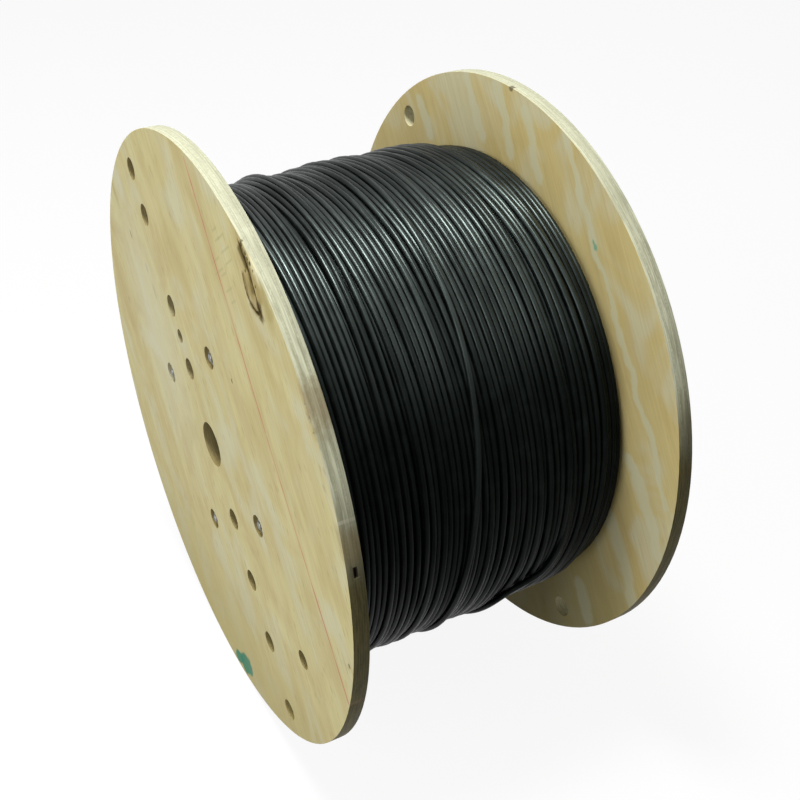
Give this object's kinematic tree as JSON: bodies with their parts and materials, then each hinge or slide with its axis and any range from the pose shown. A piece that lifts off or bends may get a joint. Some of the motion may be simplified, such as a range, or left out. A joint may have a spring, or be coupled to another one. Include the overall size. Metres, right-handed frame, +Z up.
{
  "type": "spool of cable",
  "caption": "Plywood cable reel with drilled round flanges on a fibre drum, clamped by through bolts and wound full of round black cable.",
  "frame": {"origin": "on the floor under the middle of the reel, which lies on the rims of its two flanges", "axes": "+X along the reel's axis from the front flange to the back flange, +Z up"},
  "size_m": [0.3338, 0.6096, 0.6095],
  "materials": {
    "plywood": "sanded softwood plywood, unfinished",
    "fibre_tube": "wound fibre tube",
    "zinc_steel": "zinc plated",
    "cable_jacket": "satin black extruded jacket"
  },
  "bodies": {
    "root": {"front_flange": "plywood", "back_flange": "plywood", "drum_tube": "fibre_tube", "cable_winding": "cable_jacket", "clamp_bolt_1": "zinc_steel", "clamp_bolt_2": "zinc_steel", "clamp_bolt_3": "zinc_steel", "clamp_bolt_4": "zinc_steel", "clamp_nut_1": "zinc_steel", "clamp_nut_2": "zinc_steel", "clamp_nut_3": "zinc_steel", "clamp_nut_4": "zinc_steel"}
  },
  "joints": []
}
